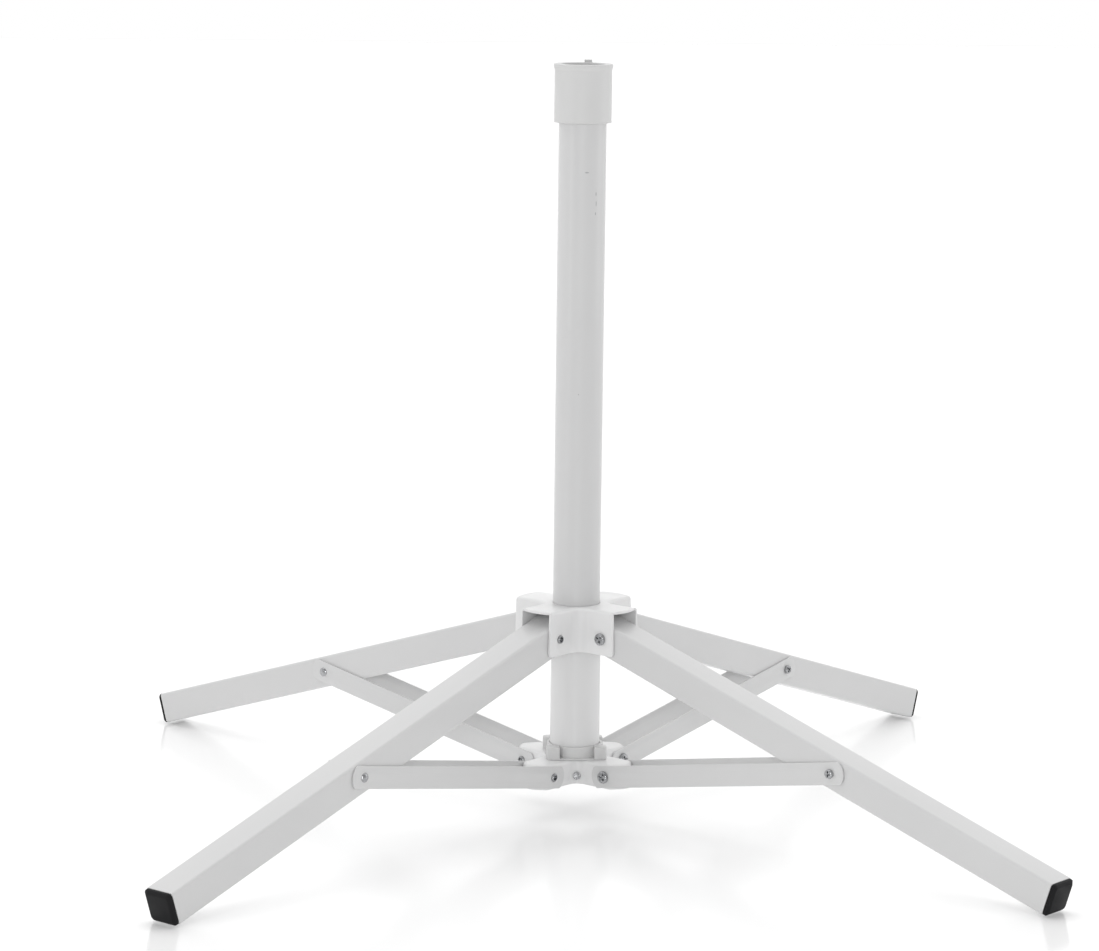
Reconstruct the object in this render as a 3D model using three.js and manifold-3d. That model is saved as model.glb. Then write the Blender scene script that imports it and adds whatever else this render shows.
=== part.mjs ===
// Folding four-leg stand of a rotary clothesline: a round mast with an open
// socket at the top, a sliding upper hub that carries four square legs, and a
// fixed lower hub that carries four pairs of flat braces.
// Units are millimetres, +Z is up, the mast is on the Z axis, and the legs run
// along the four diagonals. Z = 0 is the ground under the leg caps.
import * as THREE from 'three';
import * as BufferGeometryUtils from 'three/addons/utils/BufferGeometryUtils.js';
import Module from 'manifold-3d';

const wasm = await Module();
wasm.setup();

// ---------------------------------------------------------------- dimensions
const GAP = 0.3;               // clearance between neighbouring pieces

const MAST_R = 25.0;           // 50 mm tube
const MAST_BORE_R = 23.5;      // 1.5 mm wall
const MAST_BOTTOM = 37.5;
const MAST_TOP = 790.0;

const COLLAR_TOP = 796.5;      // plastic collar on the mast's top end
const COLLAR_BOTTOM = 735.6;
const COLLAR_R = 30.0;
const COLLAR_LIP_R = 31.1;
const COLLAR_BORE_R = 22.8;    // takes the 45 mm upper mast
const COLLAR_TAB_H = 3.0;      // locating tab on the rear of the rim

const LEG_ANGLE = 17.6;        // slope of an open leg, degrees below level
const LEG_W = 35.6;            // square leg tube, across
const LEG_H = 34.4;            // square leg tube, upright
const LEG_WALL = 1.5;
const LEG_CORNER = 3.0;
const LEG_INNER = 16.5;        // tube inboard of its pivot
const LEG_LENGTH = 591.6;      // pivot to the cap's outer edge
const CAP_FLANGE = 4.2;        // cap thickness outside the tube
const CAP_FACE = 2.2;          // bevelled face beyond the cap's outer edge
const CAP_PLUG = 16.0;

const PIVOT1_R = 50.9;         // leg pivot, distance from the mast's axis
const SIN = Math.sin(THREE.MathUtils.degToRad(LEG_ANGLE));
const COS = Math.cos(THREE.MathUtils.degToRad(LEG_ANGLE));
const PIVOT1_Z = LEG_LENGTH * SIN + 0.5 * LEG_H * COS;   // leg cap edge at Z = 0
const PIVOT2_R = 57.2;         // brace pivot on the lower hub
const PIVOT2_Z = 47.0;
const PIVOT_M = 315.4;         // brace pivot on the leg, along the leg

const BRACE_IN = 18.1;         // inner face of a brace from the leg's mid-plane
const BRACE_T = 2.0;
const BRACE_H = 23.4;
const BRACE_END_R = 16.5;     // the ends are arcs about the pivots, wider than a half round

const UHUB_BOTTOM = 178.0;     // upper hub, pressed sheet
const UHUB_TOP = 225.4;
const UHUB_SHEET = 2.4;
const UHUB_IN = 18.3;          // inner face of an ear
const UHUB_REACH = 66.6;
const UHUB_BEND = 16.0;        // bend radius on the mast's side
const LHUB_BOTTOM = 34.0;      // lower hub, one pressed cross with four closed arms
const LHUB_TOP = 60.0;
const LHUB_SHEET = 2.4;
const LHUB_OUT = 17.8;         // outer face of an arm's side, as wide as a leg
const LHUB_SIDE = 68.0;        // arm's reach at its sides
const LHUB_TIP = 74.0;         // arm's reach at its middle
const LHUB_BEND = 12.0;        // bend radius between two arms, on the open side
const RIVET_Z = 43.2;

const SLEEVE_R = 26.5;         // guide sleeve fixed in the upper hub
const SLEEVE_BORE_R = 25.4;
const SLEEVE_BOTTOM = 61.9;

const BUSH_HALF = 32.0;        // square head of the bush, half across its faces
const BUSH_CORNER = 6.0;
const BUSH_SEAT_R = 26.9;      // seat for the end of the sleeve
const BUSH_BORE_R = 25.3;
const BUSH_NECK_R = 27.0;      // neck inside the lower hub
const BUSH_BOTTOM = 36.5;
const BUSH_FLOOR = 61.6;       // the sleeve's end stands on this face
const BUSH_TOP = 73.6;
const BUSH_WINDOW = 18.6;      // half width of the recess in each face
const BUSH_RING_R = 29.6;      // ring wall round the sleeve, between the posts
const BUSH_SLOT = 3.6;

const BARREL_R = 4.2;          // barrel nut, the pivot itself
const HOLE_R = 4.5;
const SCREW_R = 2.9;
const HEAD_R = 6.5;
const HEAD_H = 3.6;
const RIVET_R = 4.2;
const SMALL_HEAD_R = 4.8;      // screws at mid-leg

const LEGS = [['front_right', -45], ['rear_right', 45], ['rear_left', 135], ['front_left', 225]];

// ---------------------------------------------------------------- materials
const paint = (c) => new THREE.MeshStandardMaterial({ color: c, roughness: 0.32, metalness: 0.0 });
const WHITE = paint(0xe9e9e9);
const WHITE_HUB = paint(0xececec);
const WHITE_PLASTIC = new THREE.MeshStandardMaterial({ color: 0xf1f1ef, roughness: 0.45, metalness: 0.0 });
const BLACK_PLASTIC = new THREE.MeshStandardMaterial({ color: 0x26272b, roughness: 0.55, metalness: 0.0 });
const ZINC = new THREE.MeshStandardMaterial({ color: 0xb9bcc0, roughness: 0.28, metalness: 1.0 });

// ---------------------------------------------------------------- solid helpers
function toSolid(geometry) {
  const g = geometry.clone();
  g.deleteAttribute('normal');
  g.deleteAttribute('uv');
  const m = BufferGeometryUtils.mergeVertices(g, 1e-4);
  return new wasm.Manifold(new wasm.Mesh({
    numProp: 3,
    vertProperties: new Float32Array(m.attributes.position.array),
    triVerts: new Uint32Array(m.index.array),
  }));
}

function toGeometry(solid) {
  const m = solid.getMesh();
  const pos = new Float32Array(m.vertProperties.length / m.numProp * 3);
  for (let i = 0; i < pos.length / 3; i++) {
    for (let k = 0; k < 3; k++) pos[3 * i + k] = m.vertProperties[m.numProp * i + k];
  }
  const g = new THREE.BufferGeometry();
  g.setAttribute('position', new THREE.BufferAttribute(pos, 3));
  g.setIndex(new THREE.BufferAttribute(new Uint32Array(m.triVerts), 1));
  g.computeVertexNormals();
  return g;
}

// body of revolution about Z; the profile is a list of [radius, z]
function lathe(profile, segments = 48) {
  const pts = profile.map(([r, z]) => new THREE.Vector2(r, z));
  const onAxis = profile[0][0] === 0 && profile[profile.length - 1][0] === 0;
  if (!onAxis) pts.push(pts[0].clone());
  const g = new THREE.LatheGeometry(pts, segments);
  g.rotateX(Math.PI / 2);
  return orient(g);
}

// turns a closed geometry's faces outwards if they point inwards
function orient(g) {
  const h = g.index ? g : BufferGeometryUtils.mergeVertices(g);
  const p = h.attributes.position, ix = h.index.array;
  let v = 0;
  const a = new THREE.Vector3(), b = new THREE.Vector3(), c = new THREE.Vector3();
  for (let i = 0; i < ix.length; i += 3) {
    a.fromBufferAttribute(p, ix[i]); b.fromBufferAttribute(p, ix[i + 1]); c.fromBufferAttribute(p, ix[i + 2]);
    v += a.dot(b.cross(c));
  }
  if (v < 0) {
    for (let i = 0; i < ix.length; i += 3) { const t = ix[i]; ix[i] = ix[i + 1]; ix[i + 1] = t; }
    h.computeVertexNormals();
  }
  return h;
}

// flat outline in XY, raised from z0 to z1
function plate(points, z0, z1, holes = []) {
  const s = new THREE.Shape(points.map(([x, y]) => new THREE.Vector2(x, y)));
  for (const h of holes) s.holes.push(new THREE.Path(h.map(([x, y]) => new THREE.Vector2(x, y))));
  const g = new THREE.ExtrudeGeometry(s, { depth: z1 - z0, bevelEnabled: false, steps: 1 });
  g.translate(0, 0, z0);
  return g;
}

// rounded rectangle, centred, as a list of points
function roundRect(w, h, r, n = 3) {
  const out = [];
  const c = [[w / 2 - r, h / 2 - r, 0], [-w / 2 + r, h / 2 - r, 90], [-w / 2 + r, -h / 2 + r, 180], [w / 2 - r, -h / 2 + r, 270]];
  for (const [cx, cy, a0] of c) {
    for (let i = 0; i <= n; i++) {
      const a = THREE.MathUtils.degToRad(a0 + 90 * i / n);
      out.push([cx + r * Math.cos(a), cy + r * Math.sin(a)]);
    }
  }
  return out;
}

// convex sections along X joined into one closed body; each is {x, pts: [[y, z]...]}
function loft(sections) {
  const n = sections[0].pts.length, pos = [], ix = [];
  for (const s of sections) for (const [y, z] of s.pts) pos.push(s.x, y, z);
  for (let k = 0; k + 1 < sections.length; k++) {
    for (let i = 0; i < n; i++) {
      const a = k * n + i, b = k * n + (i + 1) % n, c = a + n, d = b + n;
      ix.push(a, b, d, a, d, c);
    }
  }
  const last = (sections.length - 1) * n;
  for (let i = 1; i + 1 < n; i++) { ix.push(0, i + 1, i); ix.push(last, last + i, last + i + 1); }
  const g = new THREE.BufferGeometry();
  g.setAttribute('position', new THREE.BufferAttribute(new Float32Array(pos), 3));
  g.setIndex(new THREE.BufferAttribute(new Uint32Array(ix), 1));
  g.computeVertexNormals();
  return orient(g);
}

// round bar along Y between y0 and y1, centred on (x, z)
function barY(r, y0, y1, x = 0, z = 0, segments = 16) {
  const g = new THREE.CylinderGeometry(r, r, y1 - y0, segments);
  g.translate(x, (y0 + y1) / 2, z);
  return g;
}

const group = new THREE.Group();
function add(parent, name, geometry, material) {
  const m = new THREE.Mesh(geometry, material);
  m.name = name;
  parent.add(m);
  return m;
}

// ---------------------------------------------------------------- mast
add(group, 'mast_tube', lathe([
  [MAST_BORE_R, MAST_BOTTOM], [MAST_R, MAST_BOTTOM], [MAST_R, MAST_TOP], [MAST_BORE_R, MAST_TOP],
], 48), WHITE);

// ---------------------------------------------------------------- top collar
{
  const top = MAST_TOP + GAP;
  const ring = toSolid(lathe([
    [25.3, COLLAR_BOTTOM], [COLLAR_R - 0.6, COLLAR_BOTTOM], [COLLAR_R + 0.4, COLLAR_BOTTOM + 0.8], [COLLAR_R, COLLAR_BOTTOM + 2.0],
    [COLLAR_R, COLLAR_TOP - 6.0], [COLLAR_LIP_R, COLLAR_TOP - 2.8], [COLLAR_LIP_R, COLLAR_TOP - 0.8],
    [COLLAR_LIP_R - 0.8, COLLAR_TOP], [COLLAR_BORE_R + 0.8, COLLAR_TOP], [COLLAR_BORE_R, COLLAR_TOP - 0.8],
    [COLLAR_BORE_R, top], [25.3, top],
  ], 48));
  const tab = new THREE.BoxGeometry(4.2, 8.0, COLLAR_TAB_H + 2.0);
  tab.translate(26.2, 0, COLLAR_TOP + (COLLAR_TAB_H - 2.0) / 2);
  tab.rotateZ(THREE.MathUtils.degToRad(73.7));
  add(group, 'top_collar', toGeometry(ring.add(toSolid(tab))), WHITE_PLASTIC);
}

// ---------------------------------------------------------------- hubs
// One V-shaped wall between two neighbouring legs, in plan: two ears parallel
// to the legs and a rounded bend towards the mast. Drawn for legs along +X, +Y.
function vWall(inner, sheet, bend, reach) {
  const c = inner + bend, n = 8;
  const near = [], far = [];
  for (let i = 0; i <= n; i++) {
    const a = THREE.MathUtils.degToRad(270 - 90 * i / n);
    near.push([c + bend * Math.cos(a), c + bend * Math.sin(a)]);
    far.push([c + (bend - sheet) * Math.cos(a), c + (bend - sheet) * Math.sin(a)]);
  }
  return [[reach, inner], ...near, [inner, reach], [inner + sheet, reach], ...far.reverse(), [reach, inner + sheet]];
}

// circle as a list of points
function circle(r, n = 48, x = 0, y = 0) {
  const out = [];
  for (let i = 0; i < n; i++) out.push([x + r * Math.cos(2 * Math.PI * i / n), y + r * Math.sin(2 * Math.PI * i / n)]);
  return out;
}

// Top plate in plan: a cross with one tongue over each leg. Each tongue is
// wide to its shoulder and then narrow to its rounded tip.
function topPlate(wide, shoulder, narrow, side, tip, bend) {
  const quarter = [];
  const c = wide + bend;
  const m = 6;
  // tongue along +X, from its right edge to its left edge, then the bend
  const pts = [];
  if (narrow < wide) pts.push([shoulder, -wide], [shoulder, -narrow]);
  for (let i = 0; i <= m; i++) {
    const u = -1 + 2 * i / m;
    pts.push([side + (tip - side) * (1 - u * u), u * narrow]);
  }
  if (narrow < wide) pts.push([shoulder, narrow], [shoulder, wide]);
  const n = 8;
  for (let i = 0; i <= n; i++) {
    const a = THREE.MathUtils.degToRad(270 - 90 * i / n);
    pts.push([c + bend * Math.cos(a), c + bend * Math.sin(a)]);
  }
  for (let k = 0; k < 4; k++) {
    const a = k * Math.PI / 2;
    for (const [x, y] of pts) quarter.push([x * Math.cos(a) - y * Math.sin(a), x * Math.sin(a) + y * Math.cos(a)]);
  }
  return quarter;
}

// Upper hub: four walls under one top plate, four pairs of pivot holes.
{
  let s = toSolid(plate(topPlate(UHUB_IN + 1.2, 0, UHUB_IN + 1.2, UHUB_REACH - 1.7, UHUB_REACH + 1.9, UHUB_BEND - 1.2),
    UHUB_TOP - UHUB_SHEET, UHUB_TOP, [circle(MAST_R + 0.4)]));
  for (let k = 0; k < 4; k++) {
    const w = plate(vWall(UHUB_IN, UHUB_SHEET, UHUB_BEND, UHUB_REACH), UHUB_BOTTOM, UHUB_TOP - 0.6);
    w.rotateZ(k * Math.PI / 2);
    s = s.add(toSolid(w));
  }
  // lower outer corner of every ear is rounded off
  const cut = 4.0, n = 4, corner = [[UHUB_REACH + 1, UHUB_BOTTOM - 1], [UHUB_REACH + 1, UHUB_BOTTOM + cut]];
  for (let i = 0; i <= n; i++) {
    const a = THREE.MathUtils.degToRad(-90 * i / n);
    corner.push([UHUB_REACH - cut + cut * Math.cos(a), UHUB_BOTTOM + cut + cut * Math.sin(a)]);
  }
  corner.push([UHUB_REACH - cut, UHUB_BOTTOM - 1]);
  for (let k = 0; k < 4; k++) {
    const c = plate(corner, -30, 30);
    c.rotateX(Math.PI / 2);
    c.rotateZ(k * Math.PI / 2);
    s = s.subtract(toSolid(c));
    const h = barY(HOLE_R, -40, 40, PIVOT1_R, PIVOT1_Z);
    h.rotateZ(k * Math.PI / 2);
    s = s.subtract(toSolid(h));
  }
  const g = toGeometry(s);
  g.rotateZ(Math.PI / 4);
  add(group, 'upper_hub', g, WHITE_HUB);
}

// Guide sleeve: fixed in the upper hub, slides on the mast, and stands in the
// lower hub's bush when the legs are open.
add(group, 'guide_sleeve', lathe([
  [SLEEVE_BORE_R, SLEEVE_BOTTOM], [SLEEVE_R, SLEEVE_BOTTOM],
  [SLEEVE_R, UHUB_TOP - UHUB_SHEET - GAP], [SLEEVE_BORE_R, UHUB_TOP - UHUB_SHEET - GAP],
], 48), WHITE);

// Lower hub: a pressed cross, open underneath, whose arms are closed at their
// ends and pass between the braces; pivot holes and one rivet hole in each bend.
const LHUB_BISECT = Math.SQRT2 * (LHUB_OUT + LHUB_BEND) - LHUB_BEND;   // bend's open side
function cross(inset) {
  const h = LHUB_OUT - inset, side = LHUB_SIDE - inset, tip = LHUB_TIP - inset;
  const rc = Math.max(5.0 - inset, 1.5), bend = LHUB_BEND + inset, c = LHUB_OUT + LHUB_BEND;
  const pts = [];
  const m = 6;
  for (let i = 0; i <= 3; i++) {                       // rounded corner of the arm's end
    const a = THREE.MathUtils.degToRad(-90 + 75 * i / 3);
    pts.push([side - rc + rc * Math.cos(a), -h + rc + rc * Math.sin(a)]);
  }
  for (let i = 1; i < m; i++) {                        // bowed end
    const u = -1 + 2 * i / m;
    pts.push([side + (tip - side) * (1 - u * u), u * (h - rc)]);
  }
  for (let i = 3; i >= 0; i--) {
    const a = THREE.MathUtils.degToRad(-90 + 75 * i / 3);
    pts.push([side - rc + rc * Math.cos(a), h - rc - rc * Math.sin(a)]);
  }
  const n = 8;
  for (let i = 0; i <= n; i++) {                       // bend to the next arm
    const a = THREE.MathUtils.degToRad(270 - 90 * i / n);
    pts.push([c + bend * Math.cos(a), c + bend * Math.sin(a)]);
  }
  const out = [];
  for (let k = 0; k < 4; k++) {
    const a = k * Math.PI / 2;
    for (const [x, y] of pts) out.push([x * Math.cos(a) - y * Math.sin(a), x * Math.sin(a) + y * Math.cos(a)]);
  }
  return out;
}
{
  let s = toSolid(plate(cross(0), LHUB_BOTTOM, LHUB_TOP));
  s = s.subtract(toSolid(plate(cross(LHUB_SHEET), LHUB_BOTTOM - 2, LHUB_TOP - LHUB_SHEET)));
  s = s.subtract(toSolid(plate(circle(BUSH_NECK_R + GAP, 40), LHUB_BOTTOM, LHUB_TOP + 2)));
  for (let k = 0; k < 4; k++) {
    const h = barY(HOLE_R, -40, 40, PIVOT2_R, PIVOT2_Z);
    h.rotateZ(k * Math.PI / 2);
    s = s.subtract(toSolid(h));
    const v = barY(2.7, LHUB_BISECT - 6, LHUB_BISECT + 6, 0, RIVET_Z);
    v.rotateZ(-Math.PI / 4 + k * Math.PI / 2);
    s = s.subtract(toSolid(v));
  }
  const g = toGeometry(s);
  g.rotateZ(Math.PI / 4);
  add(group, 'lower_hub', g, WHITE_HUB);
}

// Bush: its neck grips the mast's foot inside the lower hub, and its square
// head has a post at each corner and a slotted ring wall between them, which
// centre the end of the sleeve.
{
  let s = toSolid(plate(roundRect(2 * BUSH_HALF, 2 * BUSH_HALF, BUSH_CORNER, 4), LHUB_TOP + GAP, BUSH_TOP));
  s = s.subtract(toSolid(plate(circle(BUSH_SEAT_R, 40), BUSH_FLOOR, BUSH_TOP + 2)));
  const w = BUSH_WINDOW;
  for (const [a, b] of [[w, 50], [50, w]]) {
    s = s.subtract(toSolid(plate([[-a, -b], [a, -b], [a, b], [-a, b]], BUSH_FLOOR, BUSH_TOP + 2)));
  }
  let ring = toSolid(plate(circle(BUSH_RING_R, 40), LHUB_TOP + GAP, BUSH_TOP - 0.4));
  ring = ring.subtract(toSolid(plate(circle(BUSH_SEAT_R, 40), BUSH_FLOOR, BUSH_TOP + 2)));
  for (let k = 0; k < 4; k++) {                        // slot beside the left post of each face
    const x = -BUSH_WINDOW - 0.2, f = BUSH_FLOOR + 0.6;
    const slot = plate([[x, -36], [x + BUSH_SLOT, -36], [x + BUSH_SLOT, -10], [x, -10]], f, BUSH_TOP + 2);
    slot.rotateZ(k * Math.PI / 2);
    ring = ring.subtract(toSolid(slot));
  }
  s = s.add(ring);
  s = s.add(toSolid(plate(circle(BUSH_NECK_R, 40), BUSH_BOTTOM, LHUB_TOP + 0.8)));
  s = s.subtract(toSolid(plate(circle(BUSH_BORE_R, 40), BUSH_BOTTOM - 2, BUSH_TOP + 2)));
  add(group, 'hub_bush', toGeometry(s), WHITE_PLASTIC);
}

// Rivets that hold the bush in the lower hub, one in each bend.
for (let k = 0; k < 4; k++) {
  const d0 = LHUB_BISECT + 0.55;                 // stands clear of the rounded bend
  const g = lathe([
    [0, LHUB_BISECT - LHUB_SHEET + 0.1], [2.4, LHUB_BISECT - LHUB_SHEET + 0.1], [2.4, d0 + GAP], [RIVET_R, d0 + GAP],
    [RIVET_R, d0 + 0.9], [3.9, d0 + 1.4], [3.4, d0 + 1.5], [3.2, d0 + 0.8], [2.4, d0 + 0.8], [2.2, d0 + 1.5], [0, d0 + 1.7],
  ], 16);
  g.rotateY(Math.PI / 2);
  g.translate(0, 0, RIVET_Z);
  g.rotateZ(k * Math.PI / 2);
  add(group, 'bush_rivet_' + (k + 1), g, ZINC);
}

// ---------------------------------------------------------------- fasteners
// Pan-head screw along Y: the head is outside y0 on the -Y side.
function screw(y0, inside, stub = SCREW_R, head = HEAD_R) {
  const g = lathe([
    [0, inside], [stub, inside], [stub, y0], [head, y0], [head, y0 - 1.4],
    [head - 1.2, y0 - 0.8 * HEAD_H], [head - 3.2, y0 - HEAD_H], [0, y0 - HEAD_H],
  ], 16);
  g.rotateX(-Math.PI / 2);
  return g;
}

// Barrel nut along Y from y0 to y1; its blind bore, if any, opens on the -Y end.
function barrel(y0, y1, bore) {
  const profile = bore > 0
    ? [[0, y0 + bore], [3.2, y0 + bore], [3.2, y0], [BARREL_R, y0], [BARREL_R, y1 - 0.6], [BARREL_R - 0.6, y1], [0, y1]]
    : [[0, y0], [BARREL_R, y0], [BARREL_R, y1 - 0.6], [BARREL_R - 0.6, y1], [0, y1]];
  const g = lathe(profile, 16);
  g.rotateX(-Math.PI / 2);
  return g;
}

// ---------------------------------------------------------------- legs and braces
for (const [name, azimuth] of LEGS) {
  const side = new THREE.Group();
  side.rotation.z = THREE.MathUtils.degToRad(azimuth);
  group.add(side);

  // leg tube and cap, in a frame at the leg pivot with X down along the leg
  const leg = new THREE.Group();
  leg.position.set(PIVOT1_R, 0, PIVOT1_Z);
  leg.rotation.y = THREE.MathUtils.degToRad(LEG_ANGLE);
  side.add(leg);
  const tubeEnd = LEG_LENGTH - CAP_FLANGE - GAP;
  {
    const outer = roundRect(LEG_W, LEG_H, LEG_CORNER);
    const inner = roundRect(LEG_W - 2 * LEG_WALL, LEG_H - 2 * LEG_WALL, LEG_CORNER - LEG_WALL);
    let s = toSolid(loft([{ x: -LEG_INNER, pts: outer }, { x: tubeEnd, pts: outer }]));
    s = s.subtract(toSolid(loft([{ x: -LEG_INNER - 2, pts: inner }, { x: tubeEnd + 2, pts: inner }])));
    s = s.subtract(toSolid(barY(HOLE_R, -40, 40, 0, 0)));
    add(leg, 'leg_' + name, toGeometry(s), WHITE);
  }
  {
    const t = LEG_WALL + 0.4;
    const plug = (x, d) => ({ x, pts: roundRect(LEG_W - 2 * (t + d), LEG_H - 2 * (t + d), 1.2) });
    const face = (x, d) => ({ x, pts: roundRect(LEG_W - 2 * d, LEG_H - 2 * d, Math.max(LEG_CORNER - 0.4 * d, 1.2)) });
    const back = LEG_LENGTH - CAP_FLANGE;
    add(leg, 'leg_cap_' + name, loft([
      plug(back - CAP_PLUG, 1.5), plug(back - CAP_PLUG + 3, 0), plug(back, 0),
      face(back, 0.6), face(back + 0.6, 0), face(LEG_LENGTH, 0), face(LEG_LENGTH + CAP_FACE, 3.2),
    ]), BLACK_PLASTIC);
  }

  // leg pivot: screw from the right side, barrel nut from the left side
  const out1 = UHUB_IN + UHUB_SHEET;
  const p1 = new THREE.Group();
  p1.position.set(PIVOT1_R, 0, PIVOT1_Z);
  side.add(p1);
  add(p1, 'leg_screw_' + name, screw(-out1 - GAP, -out1 + 12), ZINC);
  add(p1, 'leg_barrel_' + name, barrel(-out1 + 0.5, out1 + 2.0, 16), ZINC);

  // inner brace pivot on the lower hub
  const out2 = BRACE_IN + BRACE_T;
  const p2 = new THREE.Group();
  p2.position.set(PIVOT2_R, 0, PIVOT2_Z);
  side.add(p2);
  add(p2, 'hub_screw_' + name, screw(-out2 - GAP, -out2 + 12), ZINC);
  add(p2, 'hub_barrel_' + name, barrel(-out2 + 0.5, out2 + 1.8, 16), ZINC);

  // braces: two flat bars with round ends, one on each side of the leg
  const mx = PIVOT1_R + PIVOT_M * COS, mz = PIVOT1_Z - PIVOT_M * SIN;
  const length = Math.hypot(mx - PIVOT2_R, mz - PIVOT2_Z);
  const tilt = Math.atan2(mz - PIVOT2_Z, mx - PIVOT2_R);
  const bars = new THREE.Group();
  bars.position.set(PIVOT2_R, 0, PIVOT2_Z);
  bars.rotation.y = -tilt;
  side.add(bars);
  const outline = [], n = 8, half = 0.5 * BRACE_H;
  const edge = Math.asin(half / BRACE_END_R);
  for (let i = 0; i <= n; i++) {
    const a = Math.PI - edge + 2 * edge * i / n;
    outline.push([BRACE_END_R * Math.cos(a), BRACE_END_R * Math.sin(a)]);
  }
  for (let i = 0; i <= n; i++) {
    const a = -edge + 2 * edge * i / n;
    outline.push([length + BRACE_END_R * Math.cos(a), BRACE_END_R * Math.sin(a)]);
  }
  const bar = plate(outline, 0, BRACE_T, [circle(HOLE_R, 16).reverse(), circle(HOLE_R, 16, length, 0).reverse()]);
  bar.rotateX(Math.PI / 2);               // plate now lies in XZ, thickness towards -Y
  const left = bar.clone();
  left.translate(0, BRACE_IN + BRACE_T, 0);
  add(bars, 'brace_left_' + name, left, WHITE);
  const right = bar.clone();
  right.translate(0, -BRACE_IN, 0);
  add(bars, 'brace_right_' + name, right, WHITE);

  // outer brace pivot: its two visible ends ride on the braces
  const pm = new THREE.Group();
  pm.position.set(length, 0, 0);
  bars.add(pm);
  const out3 = BRACE_IN + BRACE_T;
  add(pm, 'brace_screw_' + name, screw(-out3 - GAP, -BRACE_IN - 0.1, 4.1, SMALL_HEAD_R), ZINC);
  add(pm, 'brace_barrel_' + name, barrel(BRACE_IN + 0.1, out3 + 2.0, 0), ZINC);
}

export default group;
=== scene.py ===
# Folding four-leg stand of a rotary clothesline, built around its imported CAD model.
# Sizes are in millimetres here and become metres when a mesh is made.
import math

import bmesh
import bpy
from mathutils import Matrix, Vector
from mathutils.geometry import tessellate_polygon


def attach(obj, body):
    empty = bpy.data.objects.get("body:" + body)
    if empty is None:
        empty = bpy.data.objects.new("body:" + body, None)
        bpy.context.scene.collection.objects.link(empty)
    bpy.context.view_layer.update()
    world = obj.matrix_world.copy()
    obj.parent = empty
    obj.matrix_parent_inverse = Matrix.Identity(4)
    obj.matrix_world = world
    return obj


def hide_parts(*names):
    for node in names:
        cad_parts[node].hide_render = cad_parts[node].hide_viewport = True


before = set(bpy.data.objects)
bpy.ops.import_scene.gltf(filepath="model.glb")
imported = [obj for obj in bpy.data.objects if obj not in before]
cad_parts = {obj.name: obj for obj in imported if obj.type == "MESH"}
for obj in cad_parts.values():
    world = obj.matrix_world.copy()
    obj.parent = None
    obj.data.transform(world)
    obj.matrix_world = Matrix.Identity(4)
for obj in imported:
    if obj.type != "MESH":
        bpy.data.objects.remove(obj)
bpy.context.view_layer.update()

# ---------------------------------------------------------------- dimensions
MAST_R, MAST_BORE_R, MAST_BOTTOM, MAST_TOP = 25.0, 23.5, 37.5, 790.0
COLLAR_TOP, COLLAR_BOTTOM, COLLAR_R, COLLAR_LIP_R, COLLAR_BORE_R = 796.5, 735.6, 30.0, 31.1, 22.8
LEG_ANGLE, LEG_W, LEG_H, LEG_WALL, LEG_CORNER = 17.6, 35.6, 34.4, 1.5, 3.0
LEG_INNER, LEG_LENGTH, CAP_FLANGE, CAP_FACE, CAP_PLUG = 16.5, 591.6, 3.2, 2.2, 16.0
SIN, COS = math.sin(math.radians(LEG_ANGLE)), math.cos(math.radians(LEG_ANGLE))
P1R, P1Z = 50.9, LEG_LENGTH * SIN + 0.5 * LEG_H * COS
P2R, P2Z, PM = 57.2, 47.0, 315.4
BRACE_IN, BRACE_T, BRACE_H, BRACE_END_R = 18.1, 2.0, 23.4, 16.5
UHUB_BOTTOM, UHUB_TOP, UHUB_SHEET, UHUB_IN, UHUB_REACH, UHUB_BEND = 178.0, 225.4, 2.4, 18.3, 66.6, 16.0
LHUB_BOTTOM, LHUB_TOP, LHUB_SHEET, LHUB_OUT, LHUB_SIDE, LHUB_TIP, LHUB_BEND = 34.0, 60.0, 2.4, 17.8, 68.0, 74.0, 12.0
RIVET_Z = 43.2
SLEEVE_R, SLEEVE_BORE_R, SLEEVE_BOTTOM = 26.5, 25.4, 61.9
BUSH_HALF, BUSH_CORNER, BUSH_SEAT_R, BUSH_BORE_R, BUSH_NECK_R = 32.0, 6.0, 26.9, 25.3, 27.0
BUSH_BOTTOM, BUSH_FLOOR, BUSH_TOP, BUSH_WINDOW, BUSH_RING_R, BUSH_SLOT = 36.5, 61.6, 73.6, 18.6, 29.6, 3.6
BARREL_R, HOLE_R, SCREW_R, HEAD_R, HEAD_H, SMALL_HEAD_R, RIVET_R = 4.2, 4.5, 2.9, 6.5, 3.6, 4.8, 4.2
GAP = 0.3
LEGS = [("front_right", -45), ("rear_right", 45), ("rear_left", 135), ("front_left", 225)]

DEG = math.pi / 180


# ---------------------------------------------------------------- materials
def principled(name):
    m = bpy.data.materials.new(name)
    m.use_nodes = True
    nt = m.node_tree
    return m, nt, nt.nodes["Principled BSDF"]


def node(nt, kind, **values):
    n = nt.nodes.new(kind)
    for k, v in values.items():
        if k in n.inputs:
            n.inputs[k].default_value = v
        else:
            setattr(n, k, v)
    return n


def ramp(nt, source, stops):
    r = nt.nodes.new("ShaderNodeValToRGB")
    nt.links.new(source, r.inputs["Fac"])
    els = r.color_ramp.elements
    while len(els) < len(stops):
        els.new(0.5)
    for e, (p, c) in zip(els, stops):
        e.position = p
        e.color = (*c, 1) if isinstance(c, tuple) else (c, c, c, 1)
    return r


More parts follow.
